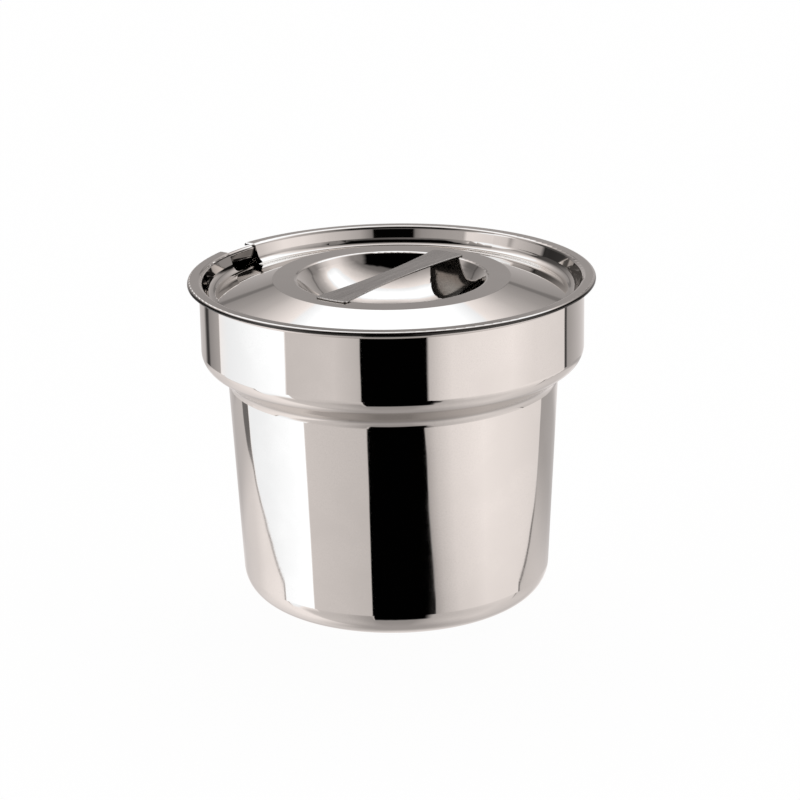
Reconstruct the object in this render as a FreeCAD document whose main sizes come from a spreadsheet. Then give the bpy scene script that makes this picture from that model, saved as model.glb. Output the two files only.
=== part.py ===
import FreeCAD, Part
import math
import os

import Sketcher
from FreeCAD import Placement, Vector

# Stepped inset pot of a soup kettle with its drop-in lid, in millimetres, +Z up, origin at the base centre.
# The lid's handle strip lies along X, and its ladle notch opens towards +Y.

SIZES = {
    # pot
    "pot_height": 193.9,
    "pot_wall": 0.8,
    "collar_radius": 113.2,
    "collar_height": 46.3,
    "collar_corner": 11.0,
    "shoulder_step": 15.1,
    "shoulder_drop": 11.8,
    "shoulder_corner": 8.2,
    "well_taper": 6.6,
    "base_corner": 17.0,
    "bead_bore": 1.15,
    "bead_sweep": 240,
    # lid
    "lid_wall": 0.8,
    "lid_seat_gap": 0.3,
    "lid_fit_gap": 0.4,
    "flange_overhang": 3.7,
    "flange_bend": 1.7,
    "lip_bend": 1.0,
    "lip_run": 0.4,
    "lip_edge": 0.3,
    "trough_inset": 4.15,
    "trough_depth": 12.3,
    "trough_bend": 6.0,
    "ring_drop": 1.5,
    "ring_width": 13.8,
    "ring_bend": 0.6,
    "dish_radius": 56.4,
    "dish_depth": 22.0,
    "dish_side_run": 20.0,
    "dish_bend": 1.4,
    "dish_floor_bend": 57.0,
    # ladle notch in the lid
    "notch_width": 25.5,
    "notch_past_trough": 2.85,
    "notch_corner": 1.5,
    # handle strip on the lid
    "strip_overlap": 5.1,
    "strip_waist": 14.4,
    "strip_flare": 3.8,
    "strip_end_corner": 2.0,
    "strip_thickness": 1.0,
    "strip_edge": 0.4,
}

# Values that follow from the sizes. Pieces that mate take theirs from the same sizes.
# An outward bend's size is its inside radius, so the skin's radius grows with the wall.
# The collar's bend, the dish's wide bend and the roundings stay within the walls that they round.
FOLLOWING = {
    "well_radius": "Sizes.collar_radius - Sizes.shoulder_step",
    "base_radius": "Sizes.collar_radius - Sizes.shoulder_step - Sizes.well_taper",
    "collar_foot": "Sizes.pot_height - Sizes.collar_height",
    "well_height": "collar_foot - Sizes.shoulder_drop",
    "shoulder_side": "sqrt(Sizes.shoulder_step ^ 2 + Sizes.shoulder_drop ^ 2)",
    "shoulder_room": "0.9 * shoulder_side * Sizes.shoulder_step / (shoulder_side - Sizes.shoulder_drop)",
    "collar_bend": "min(Sizes.collar_corner; shoulder_room - Sizes.shoulder_corner)",
    "bead_radius": "Sizes.bead_bore + Sizes.pot_wall",
    "bead_height": "Sizes.pot_height - bead_radius",
    "bead_centre": "Sizes.collar_radius + Sizes.bead_bore",
    "flange_height": "Sizes.pot_height + Sizes.lid_seat_gap + Sizes.lid_wall",
    "flange_radius": "bead_centre + bead_radius + Sizes.flange_overhang",
    "flange_skin_bend": "Sizes.flange_bend + Sizes.lid_wall",
    "lip_skin_bend": "Sizes.lip_bend + Sizes.lid_wall",
    "lip_radius": "flange_radius - Sizes.lid_wall",
    "lip_height": "flange_height - lip_skin_bend - Sizes.lip_run",
    "lip_rounding": "min(Sizes.lip_edge; 0.45 * Sizes.lid_wall; 0.9 * Sizes.lip_run)",
    "lid_wall_radius": "Sizes.collar_radius - Sizes.pot_wall - Sizes.lid_fit_gap",
    "trough_radius": "lid_wall_radius - Sizes.trough_inset",
    "trough_height": "flange_height - Sizes.trough_depth",
    "ring_height": "flange_height - Sizes.ring_drop",
    "ring_radius": "Sizes.dish_radius + Sizes.ring_width",
    "ring_skin_bend": "Sizes.ring_bend + Sizes.lid_wall",
    "dish_height": "ring_height - Sizes.dish_depth",
    "dish_skin_bend": "Sizes.dish_bend + Sizes.lid_wall",
    "dish_floor_radius": "Sizes.dish_radius - Sizes.dish_side_run",
    "dish_side": "sqrt(Sizes.dish_side_run ^ 2 + Sizes.dish_depth ^ 2)",
    "dish_bend_room": "0.9 * min(dish_side; dish_floor_radius)",
    "dish_bend_limit": "dish_bend_room * Sizes.dish_depth / (dish_side - Sizes.dish_side_run)",
    "dish_floor_skin": "min(Sizes.dish_floor_bend; dish_bend_limit)",
    "notch_end": "trough_radius - Sizes.notch_past_trough",
    "notch_mouth": "flange_radius + Sizes.flange_overhang",
    "notch_plane": "flange_height + Sizes.lid_wall",
    "strip_half_length": "Sizes.dish_radius + Sizes.strip_overlap",
    "strip_half_end": "Sizes.strip_waist / 2 + Sizes.strip_flare",
    "strip_side_reach": "sqrt(strip_half_length ^ 2 - strip_half_end ^ 2)",
    "strip_side_radius": "(strip_side_reach ^ 2 + Sizes.strip_flare ^ 2) / (2 * Sizes.strip_flare)",
    "strip_rounding": "min(Sizes.strip_edge; 0.45 * Sizes.strip_thickness)",
}

doc = FreeCAD.newDocument("soup_kettle_inset")
sheet = doc.addObject("Spreadsheet::Sheet", "Sizes")
for row, (name, value) in enumerate(SIZES.items(), start=1):
    sheet.set(f"A{row}", name)
    sheet.set(f"B{row}", str(value))
    sheet.setAlias(f"B{row}", name)
doc.recompute()

following = doc.addObject("App::VarSet", "Following")
for name, formula in FOLLOWING.items():
    following.addProperty("App::PropertyFloat", name, "Following")
    following.setExpression(name, formula)
doc.recompute()


def cell(name):
    """Full name of a size or following value, as expressions read it."""
    return f"Sizes.{name}" if name in SIZES else f"Following.{name}"


def value(name):
    """Number that a size or following value holds."""
    return float(sheet.get(name)) if name in SIZES else float(getattr(following, name))


def new_body(label):
    body = doc.addObject("PartDesign::Body", label)
    body.Label = label
    body.Placement = Placement()
    return body


def origin_feature(body, role):
    """One of the body's own origin planes or axes."""
    return next(feature for feature in body.Origin.OriginFeatures if feature.Role == role)


def new_sketch(body, name, plane, height=None):
    """Sketch on one of the body's origin planes, raised to a named height where one is given."""
    sketch = body.newObject("Sketcher::SketchObject", name)
    sketch.AttachmentSupport = [(origin_feature(body, plane), "")]
    sketch.MapMode = "FlatFace"
    if height:
        sketch.setExpression("AttachmentOffset.Base.z", cell(height))
    return sketch


def rule(sketch, kind, *places):
    sketch.addConstraint(Sketcher.Constraint(kind, *places))


def bind(sketch, name, kind, *places):
    """Adds a dimension to a sketch and ties it to a named value."""
    index = sketch.addConstraint(Sketcher.Constraint(kind, *places, value(name)))
    sketch.setExpression(f"Constraints[{index}]", cell(name))


def place_point(sketch, edge, end, across, up):
    """Ties one end of an edge to two named values, each counted from the origin, or from its axis if None."""
    if not across and not up:
        rule(sketch, "Coincident", edge, end, -1, 1)
        return
    if across:
        bind(sketch, across, "DistanceX", -1, 1, edge, end)
    else:
        rule(sketch, "PointOnObject", edge, end, -2)
    if up:
        bind(sketch, up, "DistanceY", -1, 1, edge, end)
    else:
        rule(sketch, "PointOnObject", edge, end, -1)


def arc(centre, radius, start, end):
    """Arc that runs anticlockwise between two angles in radians."""
    return Part.ArcOfCircle(Part.Circle(centre, Vector(0, 0, 1), radius), start, end)


def bend_arc(before, corner, after, radius):
    """Arc that rounds a corner between two neighbours, with the places where it meets both sides."""
    back = (before - corner).normalize()
    ahead = (after - corner).normalize()
    half_angle = back.getAngle(ahead) / 2
    start = corner + back * (radius / math.tan(half_angle))
    end = corner + ahead * (radius / math.tan(half_angle))
    inward = (back + ahead).normalize()
    centre = corner + inward * (radius / math.sin(half_angle))
    return Part.Arc(start, centre - inward * radius, end), start, end


def skin_line(body, name, corners):
    """Open line on the XZ plane. Each corner has two named values and, where it is bent, a bend radius."""
    sketch = new_sketch(body, name, "XZ_Plane")
    points = [Vector(value(across) if across else 0, value(up) if up else 0, 0) for across, up, _ in corners]
    starts = list(points)
    ends = list(points)
    arcs = {}
    for index, (_, _, radius) in enumerate(corners):
        if radius:
            arcs[index], ends[index], starts[index] = bend_arc(*points[index - 1 : index + 2], value(radius))
    last = len(points) - 1
    for index in range(last):
        sketch.addGeometry(Part.LineSegment(starts[index], ends[index + 1]))
    for index, (across, up, radius) in enumerate(corners):
        if not radius:
            place_point(sketch, min(index, last - 1), 1 if index < last else 2, across, up)
            continue
        before = index - 1
        rounding = sketch.addGeometry(arcs[index])
        first = 1 if sketch.getPoint(rounding, 1).distanceToPoint(ends[index]) < 1e-6 else 2
        rule(sketch, "Tangent", before, 2, rounding, first)
        rule(sketch, "Tangent", rounding, 3 - first, index, 1)
        bind(sketch, radius, "Radius", rounding)
        sharp = sketch.addGeometry(Part.Point(points[index]), True)
        rule(sketch, "PointOnObject", sharp, 1, before)
        rule(sketch, "PointOnObject", sharp, 1, index)
        place_point(sketch, sharp, 1, across, up)
    return sketch


def turn_sheet(body, name, skin, wall):
    """Gives a skin line one sheet thickness, towards the inside of the pot, and turns it about the axis."""
    band = body.newObject("PartDesign::SubShapeBinder", f"{name}_band")
    band.Support = [(skin, "")]
    band.OffsetFill = True
    band.OffsetOpenResult = True
    band.setExpression("Offset", cell(wall))
    doc.recompute()
    feature = body.newObject("PartDesign::Revolution", name)
    feature.Profile = band
    feature.ReferenceAxis = (origin_feature(body, "Z_Axis"), [""])
    feature.Angle = 360
    doc.recompute()
    return feature


def round_edge(body, radius, height):
    """Name of the tip's full circle with one radius and height."""
    for number, edge in enumerate(body.Tip.Shape.Edges, start=1):
        if not isinstance(edge.Curve, Part.Circle):
            continue
        if math.isclose(edge.Curve.Radius, radius, abs_tol=1e-4):
            if math.isclose(edge.Curve.Center.z, height, abs_tol=1e-4):
                return f"Edge{number}"
    raise ValueError(f"{body.Label} has no round edge of radius {radius} at height {height}")


def fillet(body, name, edges, radius):
    base = body.Tip
    feature = body.newObject("PartDesign::Fillet", name)
    feature.Base = (base, edges)
    feature.setExpression("Radius", cell(radius))
    doc.recompute()
    return feature


# Pot: one sheet from the base's centre up to the rim, where it curls outwards into a round bead.
pot = new_body("pot_body")
pot_skin = skin_line(
    pot,
    "pot_skin",
    [
        (None, None, None),
        ("base_radius", None, "base_corner"),
        ("well_radius", "well_height", "shoulder_corner"),
        ("collar_radius", "collar_foot", "collar_bend"),
        ("collar_radius", "bead_height", None),
    ],
)
COLLAR_LINE = 3
bead_middle = Vector(value("bead_centre"), value("bead_height"), 0)
curl_end = math.radians(180 - value("bead_sweep"))
curl = pot_skin.addGeometry(arc(bead_middle, value("bead_bore"), curl_end, math.pi))
rule(pot_skin, "Tangent", COLLAR_LINE, 2, curl, 2)
bind(pot_skin, "bead_bore", "Radius", curl)
sweep = pot_skin.addConstraint(Sketcher.Constraint("Angle", curl, math.radians(value("bead_sweep"))))
pot_skin.setExpression(f"Constraints[{sweep}]", "Sizes.bead_sweep * 1 deg")
turn_sheet(pot, "pot_sheet", pot_skin, "pot_wall")

# Lid: one sheet from the flange's turned-down lip over the wall, trough, cone and ring to the dish's centre.
lid = new_body("lid_shell")
lid_skin = skin_line(
    lid,
    "lid_skin",
    [
        ("flange_radius", "lip_height", None),
        ("flange_radius", "flange_height", "lip_skin_bend"),
        ("lid_wall_radius", "flange_height", "flange_skin_bend"),
        ("trough_radius", "trough_height", "trough_bend"),
        ("ring_radius", "ring_height", "ring_skin_bend"),
        ("dish_radius", "ring_height", "dish_skin_bend"),
        ("dish_floor_radius", "dish_height", "dish_floor_skin"),
        (None, "dish_height", None),
    ],
)
turn_sheet(lid, "lid_sheet", lid_skin, "lid_wall")
lip_height = value("lip_height")
lip_edges = [round_edge(lid, value(radius), lip_height) for radius in ("flange_radius", "lip_radius")]
fillet(lid, "lid_lip_edge", lip_edges, "lip_rounding")
uncut = lid.Tip.Shape.Volume

# Ladle notch: a straight-sided slot with round inner corners, down through flange, wall and trough.
notch_plan = new_sketch(lid, "notch_plan", "XY_Plane", "notch_plane")
side = value("notch_width") / 2
corner = value("notch_corner")
end = value("notch_end")
mouth = value("notch_mouth")
notch_plan.addGeometry(Part.LineSegment(Vector(corner - side, end, 0), Vector(side - corner, end, 0)))
notch_plan.addGeometry(arc(Vector(side - corner, end + corner, 0), corner, -math.pi / 2, 0))
notch_plan.addGeometry(Part.LineSegment(Vector(side, end + corner, 0), Vector(side, mouth, 0)))
notch_plan.addGeometry(Part.LineSegment(Vector(side, mouth, 0), Vector(-side, mouth, 0)))
notch_plan.addGeometry(Part.LineSegment(Vector(-side, mouth, 0), Vector(-side, end + corner, 0)))
notch_plan.addGeometry(arc(Vector(corner - side, end + corner, 0), corner, math.pi, 1.5 * math.pi))
INNER, RIGHT_ARC, RIGHT, MOUTH, LEFT, LEFT_ARC = range(6)
for before, after in ((INNER, RIGHT_ARC), (RIGHT_ARC, RIGHT), (LEFT, LEFT_ARC), (LEFT_ARC, INNER)):
    rule(notch_plan, "Tangent", before, 2, after, 1)
rule(notch_plan, "Coincident", RIGHT, 2, MOUTH, 1)
rule(notch_plan, "Coincident", MOUTH, 2, LEFT, 1)
rule(notch_plan, "Horizontal", INNER)
rule(notch_plan, "Vertical", RIGHT)
rule(notch_plan, "Vertical", LEFT)
rule(notch_plan, "Symmetric", MOUTH, 1, MOUTH, 2, -2)
rule(notch_plan, "Equal", RIGHT_ARC, LEFT_ARC)
bind(notch_plan, "notch_corner", "Radius", RIGHT_ARC)
bind(notch_plan, "notch_width", "DistanceX", MOUTH, 2, MOUTH, 1)
bind(notch_plan, "notch_end", "DistanceY", -1, 1, INNER, 1)
bind(notch_plan, "notch_mouth", "DistanceY", -1, 1, MOUTH, 1)
notch = lid.newObject("PartDesign::Pocket", "lid_notch")
notch.Profile = notch_plan
notch.Type = "ThroughAll"
doc.recompute()
if lid.Tip.Shape.Volume > uncut - value("notch_width") * value("lid_wall"):
    raise ValueError("the ladle notch did not cut the lid")

# Handle strip: a flat strip on the ring, with hollow sides, ends that follow the ring and rounded edges.
strip = new_body("lid_handle")
strip_plan = new_sketch(strip, "strip_plan", "XY_Plane", "ring_height")
reach = value("strip_half_length")
half_end = value("strip_half_end")
side_radius = value("strip_side_radius")
side_centre = half_end - value("strip_flare") + side_radius
swing = math.asin(value("strip_side_reach") / side_radius)
fan = math.asin(half_end / reach)
down = -math.pi / 2
middle = Vector(0, 0, 0)
strip_plan.addGeometry(arc(middle, reach, -fan, fan))
strip_plan.addGeometry(arc(Vector(0, side_centre, 0), side_radius, down - swing, down + swing))
strip_plan.addGeometry(arc(middle, reach, math.pi - fan, math.pi + fan))
strip_plan.addGeometry(arc(Vector(0, -side_centre, 0), side_radius, -down - swing, -down + swing))
RIGHT_END, TOP_SIDE, LEFT_END, LOW_SIDE = range(4)
rule(strip_plan, "Coincident", RIGHT_END, 2, TOP_SIDE, 2)
rule(strip_plan, "Coincident", TOP_SIDE, 1, LEFT_END, 1)
rule(strip_plan, "Coincident", LEFT_END, 2, LOW_SIDE, 2)
rule(strip_plan, "Coincident", LOW_SIDE, 1, RIGHT_END, 1)
rule(strip_plan, "Coincident", RIGHT_END, 3, -1, 1)
rule(strip_plan, "Coincident", LEFT_END, 3, -1, 1)
rule(strip_plan, "Symmetric", RIGHT_END, 1, RIGHT_END, 2, -1)
rule(strip_plan, "Symmetric", LEFT_END, 1, LEFT_END, 2, -1)
bind(strip_plan, "strip_half_length", "Radius", RIGHT_END)
bind(strip_plan, "strip_half_length", "Radius", LEFT_END)
bind(strip_plan, "strip_half_end", "DistanceY", -1, 1, RIGHT_END, 2)
bind(strip_plan, "strip_half_end", "DistanceY", -1, 1, LEFT_END, 1)
bind(strip_plan, "strip_side_radius", "Radius", TOP_SIDE)
bind(strip_plan, "strip_side_radius", "Radius", LOW_SIDE)
blank = strip.newObject("PartDesign::Pad", "strip_blank")
blank.Profile = strip_plan
blank.setExpression("Length", cell("strip_thickness"))
doc.recompute()
upright = [
    f"Edge{number}"
    for number, edge in enumerate(strip.Tip.Shape.Edges, start=1)
    if edge.BoundBox.ZLength > 0.9 * value("strip_thickness")
]
fillet(strip, "strip_corners", upright, "strip_end_corner")
level = [
    f"Edge{number}"
    for number, edge in enumerate(strip.Tip.Shape.Edges, start=1)
    if edge.BoundBox.ZLength < 0.1 * value("strip_thickness")
]
fillet(strip, "strip_edges", level, "strip_rounding")

doc.recompute()
for sketch in (pot_skin, lid_skin, notch_plan, strip_plan):
    if not sketch.FullyConstrained:
        raise ValueError(f"{sketch.Label} is not fully dimensioned")
for item in doc.Objects:
    if "Invalid" in item.State or "Error" in item.State:
        raise ValueError(f"{item.Label} did not build: {item.State}")
parts = (pot, lid, strip)
for part in parts:
    if part.Shape.isNull() or not part.Shape.isValid() or len(part.Shape.Solids) != 1:
        raise ValueError(f"{part.Label} is not one valid solid")

os.makedirs("parts", exist_ok=True)
for part in parts:
    part.Shape.exportStep(f"parts/{part.Label}.step")
    print(part.Label, round(part.Shape.Volume), "cubic mm")
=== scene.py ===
import math

import bpy
from mathutils import Matrix, Vector

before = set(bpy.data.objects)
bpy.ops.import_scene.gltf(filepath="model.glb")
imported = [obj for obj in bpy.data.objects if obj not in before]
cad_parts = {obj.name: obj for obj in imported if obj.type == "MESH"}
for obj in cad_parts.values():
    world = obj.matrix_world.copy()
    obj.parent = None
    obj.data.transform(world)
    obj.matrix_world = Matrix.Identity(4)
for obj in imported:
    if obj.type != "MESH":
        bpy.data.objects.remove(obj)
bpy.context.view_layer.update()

scene = bpy.context.scene
scene.view_settings.view_transform = "Standard"

# Camera at the photograph's viewing angle, in metres.
CAMERA_PLACE = Vector((-1.20394, -0.84760, 0.60478))
CAMERA_TARGET = Vector((0.00216, -0.00308, 0.11681))
CAMERA_LENS = 116.886
CAMERA_SENSOR = 36.0
CAMERA_CLIP = 0.01
CAMERA_ROLL = math.radians(0.971)

forward = (CAMERA_TARGET - CAMERA_PLACE).normalized()
level_right = forward.cross(Vector((0, 0, 1))).normalized()
level_up = level_right.cross(forward)
right = level_right * math.cos(CAMERA_ROLL) - level_up * math.sin(CAMERA_ROLL)
up = level_right * math.sin(CAMERA_ROLL) + level_up * math.cos(CAMERA_ROLL)
camera_data = bpy.data.cameras.new("camera")
camera_data.lens = CAMERA_LENS
camera_data.sensor_width = CAMERA_SENSOR
camera_data.clip_start = CAMERA_CLIP
camera = bpy.data.objects.new("camera", camera_data)
camera.matrix_world = Matrix(
    (
        (right.x, up.x, -forward.x, CAMERA_PLACE.x),
        (right.y, up.y, -forward.y, CAMERA_PLACE.y),
        (right.z, up.z, -forward.z, CAMERA_PLACE.z),
        (0, 0, 0, 1),
    )
)
scene.collection.objects.link(camera)
scene.camera = camera


class Nodes:
    """Short names for adding shader nodes to one tree. Inputs are numbers or other nodes' outputs."""

    def __init__(self, tree):
        self.tree = tree
        tree.nodes.clear()

    def add(self, kind, inputs=None, **settings):
        node = self.tree.nodes.new(kind)
        for name, setting in settings.items():
            setattr(node, name, setting)
        for name, given in (inputs or {}).items():
            self.feed(node.inputs[name], given)
        return node

    def feed(self, socket, given):
        if isinstance(given, bpy.types.NodeSocket):
            self.tree.links.new(given, socket)
        else:
            socket.default_value = given

    def math(self, operation, *given):
        node = self.add("ShaderNodeMath", dict(enumerate(given)), operation=operation)
        return node.outputs[0]

    def dot(self, vector, direction):
        node = self.add("ShaderNodeVectorMath", {0: vector, 1: direction}, operation="DOT_PRODUCT")
        return node.outputs["Value"]

    def ramp(self, given, low, high, start=0.0, end=1.0, smooth=True):
        """Runs from start to end as given goes from low to high, and stays level outside."""
        node = self.add(
            "ShaderNodeMapRange",
            {"Value": given, "From Min": low, "From Max": high, "To Min": start, "To Max": end},
            interpolation_type="SMOOTHSTEP" if smooth else "LINEAR",
        )
        return node.outputs["Result"]

    def blend(self, factor, first, second):
        """One level moved towards another."""
        node = self.add("ShaderNodeMix", data_type="FLOAT")
        self.feed(node.inputs[0], factor)
        self.feed(node.inputs[2], first)
        self.feed(node.inputs[3], second)
        return node.outputs[0]

    def mix(self, factor, first, second):
        """One colour moved towards another."""
        node = self.add("ShaderNodeMix", data_type="RGBA")
        self.feed(node.inputs[0], factor)
        self.feed(node.inputs[6], first)
        self.feed(node.inputs[7], second)
        return node.outputs[2]

    def noise(self, vector, scale, detail=2.0, roughness=0.5):
        node = self.add(
            "ShaderNodeTexNoise",
            {"Vector": vector, "Scale": scale, "Detail": detail, "Roughness": roughness},
        )
        return node.outputs["Fac"]


# Steel reflects about three quarters of the light, a little less of the blue.
STEEL = 0.735
STEEL_TINT = (0.765, 0.735, 0.705, 1.0)
SATIN_TINT = (0.64, 0.615, 0.59, 1.0)

# Studio: the polished steel shows what stands round it, so the studio is laid out by direction.
# Azimuths turn right from the camera's side, elevations rise from level, both in degrees.


def shown(tone):
    """Light that shows as this 8-bit grey on the steel. The cards' levels are written as such greys."""
    share = tone / 255
    linear = share / 12.92 if share <= 0.04045 else ((share + 0.055) / 1.055) ** 2.4
    return linear / STEEL


# What the pot's collar mirrors, from a little below level, by azimuth.
COLLAR_WALLS = (
    # name, azimuths from and to, tones there
    ("back wall, left", -180, -152, 190, 166),
    ("gap at the back left", -146.5, -142.5, 52, 58),
    ("left rear screen", -140, -125.6, 130, 158),
    ("left window", -124.6, -100, 234, 246),
    ("left window, bright part", -88, -67.2, 254, 264),
    ("left grey screen", -65.8, -35, 190, 196),
    ("left grey screen, near part", -21, -19.4, 180, 174),
    ("slit", -18.8, 19.4, 1, 1),
    ("right screen, dim edge", 21, 28, 180, 203),
    ("right screen", 35, 75, 217, 228),
    ("right screen, far part", 92, 123.4, 214, 206),
    ("gap at the back right", 124.4, 126.2, 62, 62),
    ("back wall, right", 127.6, 170, 146, 200),
)
# What the pot's well mirrors, from further below level, by azimuth.
WELL_LEFT = (
    ("back wall", -180, -168, 236, 200),
    ("left of the window", -156, -128, 186, 203),
    ("left of the window, near part", -116, -100, 219, 228),
    ("left grey screen", -65, -20, 195, 184),
)
LEFT_WINDOW = (
    ("left window", -126, -104, 237, 245),
    ("left window, bright part", -90, -66, 254, 264),
)
WELL_RIGHT = (
    ("right screen, dim edge", 20, 28, 160, 192),
    ("right screen", 40, 66, 214, 229),
    ("right screen, far part", 90, 128, 223, 208),
)
RIGHT_REAR = (
    ("right rear screen", 104, 140, 187, 190),
    ("back wall, right", 152, 172, 194, 214),
)
# What lies low down, below the well's foot, by azimuth.
GROUND = (
    ("behind", -180, -165, 206, 182),
    ("left, behind", -150, -120, 202, 217),
    ("left", -106, -86, 227, 230),
    ("left, near the camera", -77, -45, 191, 178),
    ("before the slit", -18, 16, 140, 140),
    ("right, near the camera", 30, 60, 166, 192),
    ("right", 90, 135, 205, 190),
    ("right, behind", 150, 180, 180, 206),
)
# What the lid's upright wall mirrors, from above level, by azimuth.
HIGH_WALLS = (
    ("back wall, left", -180, -158, 100, 130),
    ("left dark card", -152, -110, 58, 38),
    ("left window", -106.5, -84, 150, 188),
    ("left window, bright part", -68, -50, 208, 217),
    ("left grey screen", -47.5, -28, 158, 148),
    ("left grey screen, near part", -20, -16, 138, 118),
    ("slit", -14.2, 10.8, 3, 3),
    ("right screen, dim edge", 12.2, 20, 118, 162),
    ("right screen", 28, 44, 177, 198),
    ("right screen, bright part", 58, 72, 225, 227),
    ("right screen, far part", 86, 112, 200, 132),
    ("right rear screen", 118, 129, 132, 130),
    ("back wall, right", 134, 180, 70, 100),
)
# Dark cards in the far corners.
DARK_CARDS = (
    # name, azimuths from and to, softness, elevations from and to, softness, tone
    ("left rear", -153, -112, 2.5, 8, 34, 2, 70),
    ("right rear", 99, 137, 2.5, 9, 25, 2, 24),
    ("right rear, black part", 117, 137, 2, 6, 25, 1, 16),
    ("right rear, far part", 137, 154, 2, 6, 34, 2, 98),
    ("left rail", -112, -80, 2, 14.4, 19, 0.8, 80),
)
# What lies over the camera's side, from left to right.
NEAR_DOME = (
    ("left side", -80, -66, 185, 212),
    ("left lamp", -60, -50, 250, 250),
    ("left of the opening", -45, -34, 150, 120),
    ("right of the opening", 14, 30, 86, 128),
    ("right side", 42, 80, 160, 205),
)
# What lies overhead and behind, from the zenith down the back.
FAR_DOME = (
    ("edge of the opening", 80, 90, 84, 108),
    ("ceiling", 96, 120, 150, 244),
    ("lamp over the back", 125, 137, 264, 264),
    ("under that lamp", 142, 150, 226, 174),
    ("back screen", 156, 160.8, 148, 134),
    ("rail on the back screen", 161.6, 162.8, 110, 110),
    ("back screen, low part", 164, 180, 138, 165),
)


# Light left in the openings.
BLACK = 0.0005


def path(w, angle, cards):
    """A level that runs straight from card to card."""
    stops = []
    for _, first, last, first_tone, last_tone in cards:
        stops += [(first, shown(first_tone)), (last, shown(last_tone))]
    level = stops[0][1]
    for (low, before), (high, after) in zip(stops, stops[1:]):
        if after != before:
            level = w.math("ADD", level, w.ramp(angle, low, high, 0.0, after - before, smooth=False))
    return level


def product(w, first, *others):
    """All the given levels multiplied."""
    for other in others:
        first = w.math("MULTIPLY", first, other)
    return first


def band(w, angle, low, high, soft):
    """One between two angles, with soft ends, and nothing outside."""
    rise = w.ramp(angle, low - soft, low + soft)
    return product(w, rise, w.ramp(angle, high - soft, high + soft, 1.0, 0.0))


def lean(w, elevation, start, end, reach, power):
    """How far a wall's edge has moved sideways at an elevation below start."""
    share = w.ramp(elevation, end, start, 1.0, 0.0, smooth=False)
    return product(w, w.math("POWER", share, power), reach)


def well_light(w, azimuth, elevation):
    """The walls as the well shows them: their edges lean in towards the foot."""
    from_window = w.math("SUBTRACT", azimuth, lean(w, elevation, -21.6, -25.9, 30.0, 1.4))
    from_screen = w.math("SUBTRACT", azimuth, lean(w, elevation, -21.5, -25.6, -20.7, 1.9))
    from_slit = w.math("SUBTRACT", azimuth, lean(w, elevation, -23.5, -28.1, 9.2, 1.45))
    left = path(w, azimuth, WELL_LEFT)
    left = product(w, left, w.ramp(elevation, -22.6, -21, 1.0, shown(164) / shown(184)))
    # The gap beside the window narrows to a line that runs along the window's edge.
    gap_side = w.math("ADD", from_window, w.ramp(elevation, -22.4, -20.7, 1.6, 9.0))
    gap = product(w, w.ramp(gap_side, -124.8, -123.4), w.ramp(from_window, -124.6, -123.6, 1.0, 0.0))
    left = w.blend(gap, left, w.ramp(elevation, -23, -21.2, shown(158), shown(100)))
    window = product(w, w.ramp(from_window, -124.4, -123.4), w.ramp(azimuth, -66.8, -65.6, 1.0, 0.0))
    left = w.blend(window, left, path(w, azimuth, LEFT_WINDOW))
    right = product(w, path(w, from_slit, WELL_RIGHT), w.ramp(elevation, -29, -24.5, 0.87, 1.0))
    rear = product(w, path(w, azimuth, RIGHT_REAR), w.ramp(elevation, -24.5, -21.2, 1.0, 0.63))
    right = w.blend(w.ramp(from_screen, 125.8, 127.0), right, rear)
    line = product(w, band(w, from_screen, 126.4, 128.2, 0.7), w.ramp(elevation, -24, -22, 1.0, 0.0))
    right = w.blend(line, right, shown(112))
    level = w.blend(w.ramp(azimuth, -1, 1), left, right)
    slit = product(w, w.ramp(azimuth, -19.4, -18.6), w.ramp(from_slit, 19.6, 20.8, 1.0, 0.0))
    return w.blend(slit, level, BLACK)


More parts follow.
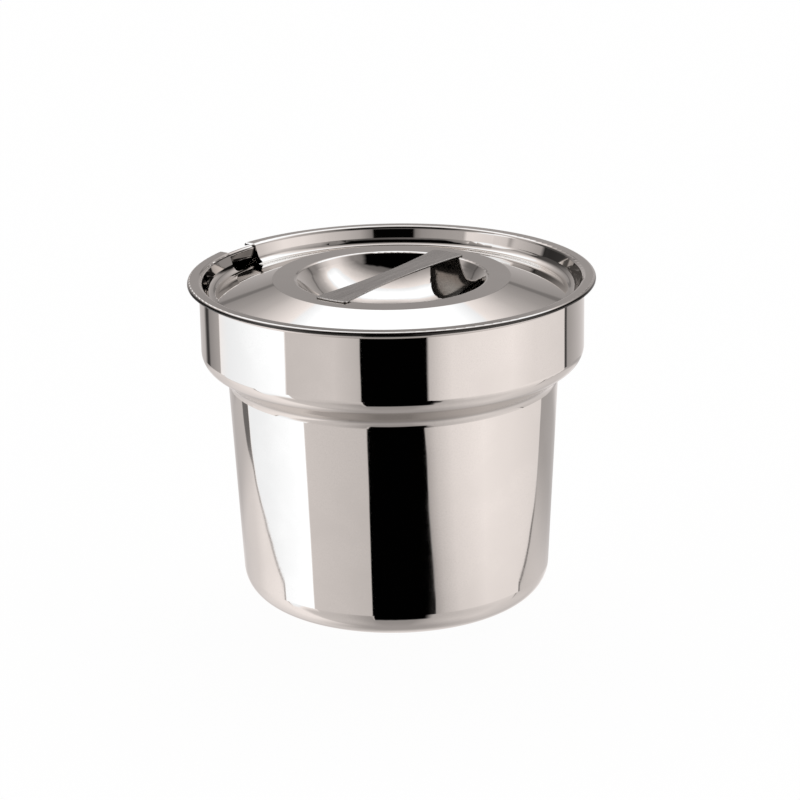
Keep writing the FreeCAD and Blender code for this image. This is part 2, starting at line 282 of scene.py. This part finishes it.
def studio_light(w, azimuth, elevation, over, sideways):
    """The studio's light from one direction.

    over runs from the camera's side at 0 past the zenith at 90 to the far side at 180.
    sideways runs to the right, from the upright plane through the camera.
    """
    low = path(w, azimuth, COLLAR_WALLS)
    low = w.blend(w.ramp(elevation, -19.8, -18.8, 1.0, 0.0), low, well_light(w, azimuth, elevation))
    # The ground fills in below the walls, last of all below the slit.
    ahead = product(w, w.ramp(azimuth, -22, -18), w.ramp(azimuth, 22, 30, 1.0, 0.0))
    fill = w.blend(ahead, w.ramp(elevation, -39, -27, 1.0, 0.0), w.ramp(elevation, -48.5, -42.5, 1.0, 0.0))
    ground = path(w, azimuth, GROUND)
    ground = w.blend(w.ramp(elevation, -82, -54, 1.0, 0.0), ground, shown(150))
    low = w.blend(fill, low, ground)
    high = product(w, path(w, azimuth, HIGH_WALLS), w.ramp(elevation, 23, 33, 1.0, 0.62))
    level = w.blend(w.ramp(elevation, -7, 1), low, high)
    for _, left, right, side_soft, bottom, top, end_soft, tone in DARK_CARDS:
        card = product(w, band(w, azimuth, left, right, side_soft), band(w, elevation, bottom, top, end_soft))
        level = w.blend(card, level, shown(tone))
    # Upwards the walls brighten towards the lamps.
    upper = w.ramp(elevation, 34, 56, shown(142), shown(222), smooth=False)
    level = w.blend(w.ramp(elevation, 31, 37), level, upper)
    left_lamp = product(w, band(w, azimuth, -154, -124, 3), w.ramp(elevation, 35, 39))
    level = w.blend(left_lamp, level, shown(234))
    near = product(w, w.ramp(over, 24, 36), w.ramp(over, 85, 92, 1.0, 0.0), w.ramp(elevation, 16, 30))
    level = w.blend(near, level, path(w, sideways, NEAR_DOME))
    # The far dome's bands sag towards the sides.
    off = w.math("ADD", sideways, 4.0)
    bowed = w.math("ADD", over, product(w, off, off, 0.0085))
    dimmed = product(w, path(w, bowed, FAR_DOME), w.ramp(sideways, -44, -14, 0.5, 1.0))
    width = w.ramp(w.math("ABSOLUTE", sideways), 34, 50, 1.0, 0.0)
    far = product(w, width, w.ramp(over, 79, 83), w.ramp(over, 176, 186, 1.0, 0.0))
    level = w.blend(far, level, dimmed)
    # The black opening overhead.
    opening_end = w.math("SUBTRACT", over, w.ramp(sideways, -8, 8, 87.0, 82.0, smooth=False))
    opening = product(w, w.ramp(over, 30, 52), w.ramp(opening_end, -1.5, 1.5, 1.0, 0.0))
    opening = product(w, opening, w.ramp(sideways, -33, -29), w.ramp(sideways, 19.5, 24.5, 1.0, 0.0))
    return w.blend(opening, level, BLACK)


world = bpy.data.worlds.new("studio")
scene.world = world
world.use_nodes = True
w = Nodes(world.node_tree)
DEGREES = 180 / math.pi
# Level direction towards the camera's side, from which azimuths are counted.
CAMERA_SIDE = Vector((-0.8177, -0.5757, 0.0))
direction = w.add("ShaderNodeTexCoord").outputs["Generated"]
to_camera = w.dot(direction, CAMERA_SIDE)
to_right = w.dot(direction, (-CAMERA_SIDE.y, CAMERA_SIDE.x, 0.0))
to_sky = w.dot(direction, (0, 0, 1))
azimuth = w.math("MULTIPLY", w.math("ARCTAN2", to_right, to_camera), DEGREES)
elevation = w.math("MULTIPLY", w.math("ARCSINE", to_sky), DEGREES)
sideways = w.math("MULTIPLY", w.math("ARCSINE", to_right), DEGREES)
over = w.math("MULTIPLY", w.math("ARCTAN2", to_sky, to_camera), DEGREES)
over = w.math("ADD", over, w.math("MULTIPLY", w.math("LESS_THAN", over, -90.0), 360.0))
light = studio_light(w, azimuth, elevation, over, sideways)
# Grey screens look warm on the steel, and the lamps and windows look white.
WARM = (1.057, 1.0, 0.985)
WHITE = tuple(STEEL / part for part in STEEL_TINT[:3])
whiteness = w.ramp(light, shown(229), shown(240))
channels = [
    w.math("MULTIPLY", light, w.blend(whiteness, warm, white))
    for warm, white in zip(WARM, WHITE)
]
shade = w.add("ShaderNodeCombineColor", dict(enumerate(channels)))

backdrop = w.add("ShaderNodeBackground", {"Color": shade.outputs[0], "Strength": 1.0})
w.add("ShaderNodeOutputWorld", {"Surface": backdrop.outputs[0]})

# Floor: a wide white sheet that keeps the pot's soft shadow and gives off most of its own white.
# The steel does not mirror it, because the steel in the photograph mirrors no white ground.
FLOOR_REACH = 30.0
FLOOR_DROP = 0.0006
PAPER_COLOUR = (0.98, 0.98, 0.98, 1.0)
PAPER_SHARE = 0.08
GLOW_COLOUR = (1.0, 1.0, 1.0, 1.0)
GLOW_STRENGTH = 1.04
floor_mesh = bpy.data.meshes.new("floor")
corners = [(-FLOOR_REACH, -FLOOR_REACH, 0), (FLOOR_REACH, -FLOOR_REACH, 0)]
corners += [(FLOOR_REACH, FLOOR_REACH, 0), (-FLOOR_REACH, FLOOR_REACH, 0)]
floor_mesh.from_pydata(corners, [], [(0, 1, 2, 3)])
floor = bpy.data.objects.new("floor", floor_mesh)
floor.location.z = -FLOOR_DROP
scene.collection.objects.link(floor)
floor.visible_glossy = False
floor_paint = bpy.data.materials.new("floor_paper")
floor_paint.use_nodes = True
p = Nodes(floor_paint.node_tree)
paper = p.add("ShaderNodeBsdfDiffuse", {"Color": PAPER_COLOUR})
glow = p.add("ShaderNodeEmission", {"Color": GLOW_COLOUR, "Strength": GLOW_STRENGTH})
cover = p.add("ShaderNodeMixShader", {"Fac": PAPER_SHARE})
p.feed(cover.inputs[1], glow.outputs[0])
p.feed(cover.inputs[2], paper.outputs[0])
p.add("ShaderNodeOutputMaterial", {"Surface": cover.outputs[0]})
floor_mesh.materials.append(floor_paint)


# Polished sheet: noise scales per metre, heights in metres.
TURN_SCALE = 0.0012
LINE_SCALE = 2600.0
WAVE_SCALE = 26.0
SMUDGE_SCALE = 21.0
GRAIN_SCALE = 1500.0
SMUDGE_SHARE = 0.95
DULL_ROUGHNESS = 0.06
LINE_DEPTH = 0.0000004
POLISHED_ROUGHNESS = 0.03
POT_WAVES = 0.00008
LID_WAVES = 0.00006
SHOULDER_SHARE = 0.7
# The lid's lip gets painted shade, a dark seam where the lid meets the pot, at this share of the steel's
# brightness.
LIP_SHADE_SHARE = 0.08
# Strip: its streaks are stretched along X.
STREAK_STRETCH = (0.035, 1.0, 1.0)
STREAK_SCALE = 420.0
FINE_SCALE = 1900.0
CLOUD_SCALE = 60.0
STRIP_GRAIN_SCALE = 2300.0
FINE_DEPTH = 0.000004
STRIP_ROUGHNESS = 0.2
UNDERSIDE_ROUGHNESS = 0.42
# Brightness of the painted shade along the edges and ends of the strip's underside.
UNDERSIDE_SHADE_SHARE = 0.06
EDGE_RADIUS = 0.0007


def darker(colour, share):
    """The colour at a share of its brightness."""
    return tuple(part * share for part in colour[:3]) + (1.0,)


def polished_steel(name, wave_depth, darkened_part, darkened_share):
    """Mirror-polished sheet: rings of fine polishing lines, slow waves from pressing, and faint smudges.

    The third argument gives the part made darker and rougher, from the radius and height, and the fourth its
    brightness; on the lid's lip this darkening is painted shade.
    """
    material = bpy.data.materials.new(name)
    material.use_nodes = True
    n = Nodes(material.node_tree)
    place = n.add("ShaderNodeTexCoord").outputs["Object"]
    split = n.add("ShaderNodeSeparateXYZ", {0: place})
    x, y, z = (split.outputs[axis] for axis in "XYZ")
    radius = n.math("SQRT", n.math("ADD", n.math("MULTIPLY", x, x), n.math("MULTIPLY", y, y)))
    turn = n.math("ARCTAN2", y, x)
    slow_turn = n.math("MULTIPLY", turn, TURN_SCALE)
    along = n.add("ShaderNodeCombineXYZ", {0: radius, 1: z, 2: slow_turn}).outputs[0]
    lines = n.noise(along, LINE_SCALE, 2.0, 0.6)
    waves = n.noise(place, WAVE_SCALE, 1.0, 0.4)
    smudges = n.noise(place, SMUDGE_SCALE, 4.0, 0.55)
    roughness = n.ramp(lines, 0.3, 0.75, POLISHED_ROUGHNESS * 0.6, POLISHED_ROUGHNESS * 1.4)
    smeared = n.ramp(smudges, 0.48, 0.75, 0.0, POLISHED_ROUGHNESS * 0.8)
    roughness = n.math("ADD", roughness, smeared)
    colour = n.mix(n.ramp(smudges, 0.4, 0.6), darker(STEEL_TINT, SMUDGE_SHARE), STEEL_TINT)
    grain = n.noise(place, GRAIN_SCALE, 2.0, 0.6)
    colour = n.mix(n.ramp(grain, 0.35, 0.75, 0.0, 1.0), colour, darker(STEEL_TINT, SMUDGE_SHARE))
    # Darker and rougher part: painted shade on the lid's lip; on the pot's shoulder only darker and rougher.
    darkened = darkened_part(n, radius, z)
    colour = n.mix(darkened, colour, darker(STEEL_TINT, darkened_share))
    roughness = n.math("ADD", roughness, n.math("MULTIPLY", darkened, DULL_ROUGHNESS))
    wave_bump = n.add("ShaderNodeBump", {"Height": waves, "Strength": 1.0, "Distance": wave_depth})
    line_bump = n.add(
        "ShaderNodeBump",
        {"Height": lines, "Strength": 1.0, "Distance": LINE_DEPTH, "Normal": wave_bump.outputs[0]},
    )
    steel = n.add(
        "ShaderNodeBsdfPrincipled",
        {"Base Color": colour, "Metallic": 1.0, "Roughness": roughness, "Normal": line_bump.outputs[0]},
    )
    n.add("ShaderNodeOutputMaterial", {"Surface": steel.outputs[0]})
    return material


def satin_steel(name):
    """Strip stock with grinding streaks along its length, and painted shade on its underside."""
    material = bpy.data.materials.new(name)
    material.use_nodes = True
    n = Nodes(material.node_tree)
    place = n.add("ShaderNodeTexCoord").outputs["Object"]
    stretched = n.add("ShaderNodeMapping", {"Vector": place, "Scale": STREAK_STRETCH}).outputs[0]
    streaks = n.noise(stretched, STREAK_SCALE, 3.0, 0.6)
    fine = n.noise(stretched, FINE_SCALE, 2.0, 0.6)
    cloud = n.noise(place, CLOUD_SCALE, 3.0, 0.5)
    colour = n.mix(n.ramp(streaks, 0.3, 0.7), darker(SATIN_TINT, 0.72), SATIN_TINT)
    colour = n.mix(n.ramp(cloud, 0.35, 0.7, 0.0, 0.5), colour, darker(SATIN_TINT, 0.88))
    roughness = n.ramp(fine, 0.25, 0.75, STRIP_ROUGHNESS * 0.7, STRIP_ROUGHNESS * 1.3)
    grain = n.noise(place, STRIP_GRAIN_SCALE, 2.0, 0.6)
    colour = n.mix(n.ramp(grain, 0.35, 0.7), colour, darker(SATIN_TINT, 0.8))
    # The underside is rougher for its dull mill finish and a little darker, with painted shade, near black,
    # along its edges and at its ends.
    facing_up = n.dot(n.add("ShaderNodeNewGeometry").outputs["Normal"], (0, 0, 1))
    under = n.ramp(facing_up, -0.6, 0.0, 1.0, 0.0)
    split = n.add("ShaderNodeSeparateXYZ", {0: place})
    by_edge = n.ramp(n.math("ABSOLUTE", split.outputs["Y"]), 0.0052, 0.0068)
    by_end = n.ramp(n.math("ABSOLUTE", split.outputs["X"]), 0.0462, 0.0475)
    underside_shade = n.math("MAXIMUM", by_edge, by_end)
    darkened = n.mix(underside_shade, darker(SATIN_TINT, 0.85), darker(SATIN_TINT, UNDERSIDE_SHADE_SHARE))
    colour = n.mix(under, colour, darkened)
    roughness = n.blend(under, roughness, UNDERSIDE_ROUGHNESS)
    edges = n.add("ShaderNodeBevel", {"Radius": EDGE_RADIUS}, samples=6).outputs["Normal"]
    bump = n.add("ShaderNodeBump", {"Height": fine, "Strength": 1.0, "Distance": FINE_DEPTH, "Normal": edges})
    steel = n.add(
        "ShaderNodeBsdfPrincipled",
        {"Base Color": colour, "Metallic": 1.0, "Roughness": roughness, "Normal": bump.outputs[0]},
    )
    n.add("ShaderNodeOutputMaterial", {"Surface": steel.outputs[0]})
    return material


def dress(node, material):
    """Gives one CAD node its material."""
    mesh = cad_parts[node].data
    mesh.materials.clear()
    mesh.materials.append(material)


def on_shoulder(n, radius, height):
    """The pot's sloping shoulder."""
    return n.math("MULTIPLY", n.ramp(height, 0.1352, 0.1368), n.ramp(height, 0.1446, 0.1468, 1.0, 0.0))


def on_lip(n, radius, height):
    """The lid's turned-down edge: rougher, and darkened with painted shade as a dark seam where the lid meets
    the pot.
    """
    return n.math("MULTIPLY", n.ramp(radius, 0.1187, 0.1191), n.ramp(height, 0.1942, 0.1948, 1.0, 0.0))


dress("pot_body", polished_steel("pot_steel", POT_WAVES, on_shoulder, SHOULDER_SHARE))
dress("lid_shell", polished_steel("lid_steel", LID_WAVES, on_lip, LIP_SHADE_SHARE))
dress("lid_handle", satin_steel("handle_steel"))
